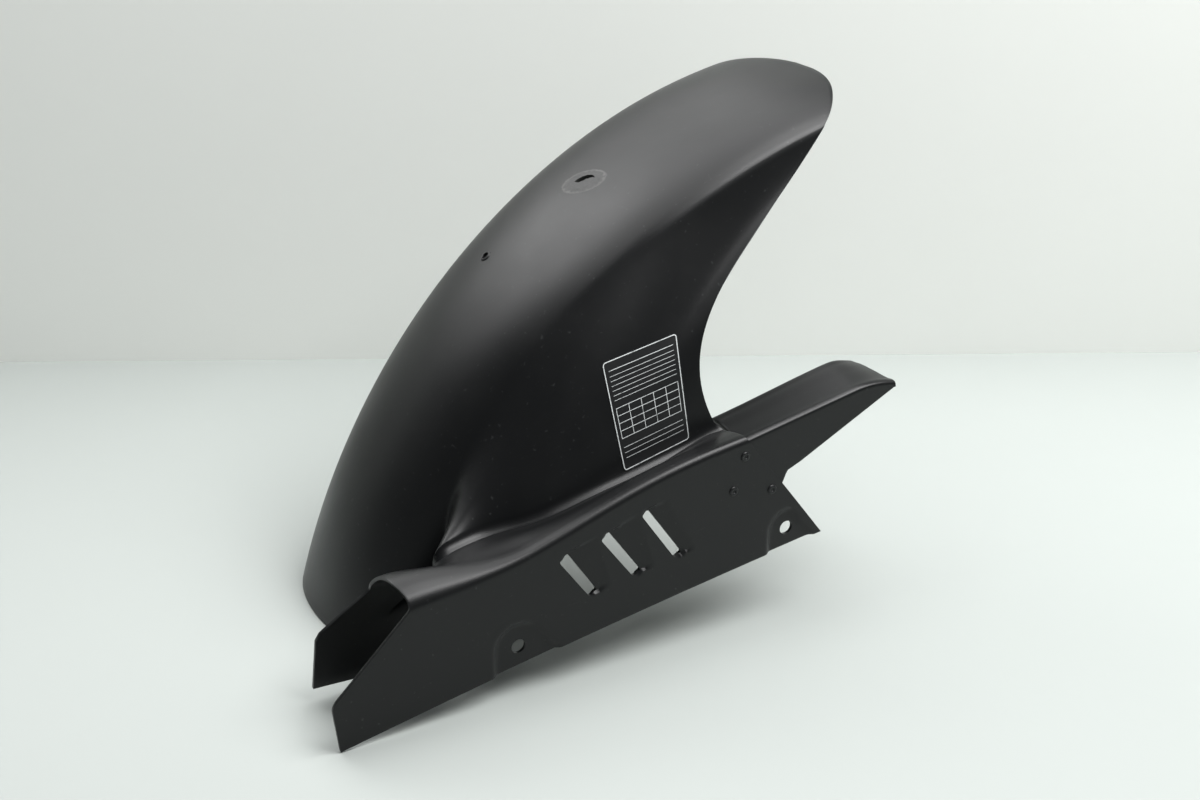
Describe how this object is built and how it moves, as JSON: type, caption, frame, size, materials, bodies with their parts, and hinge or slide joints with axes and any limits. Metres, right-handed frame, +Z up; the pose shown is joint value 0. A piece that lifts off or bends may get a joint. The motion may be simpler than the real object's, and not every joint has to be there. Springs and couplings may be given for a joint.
{
  "type": "rear hugger mudguard",
  "caption": "Close-fitting rear mudguard for a motorcycle: an arch over the tyre moulded in one with the upper chain guard, with a lapped tail, louvres and bolt bosses.",
  "frame": {"origin": "middle of the wall of the front boss's bore in the outer panel", "axes": "+X towards the motorcycle's rear, +Y from the outer panel across to the wheel and the far side, +Z up; the guard's bottom edge rises 8 degrees to the rear, as it stands in the picture"},
  "size_m": [0.4964, 0.2708, 0.3727],
  "materials": {
    "satin_black": "satin, fine moulded grain",
    "pin_black": "satin",
    "film_black": "printed film"
  },
  "bodies": {
    "root": {"hugger": "satin_black", "chain_guard_tail": "satin_black", "tail_rivets": "pin_black", "label_film": "film_black"}
  },
  "joints": []
}
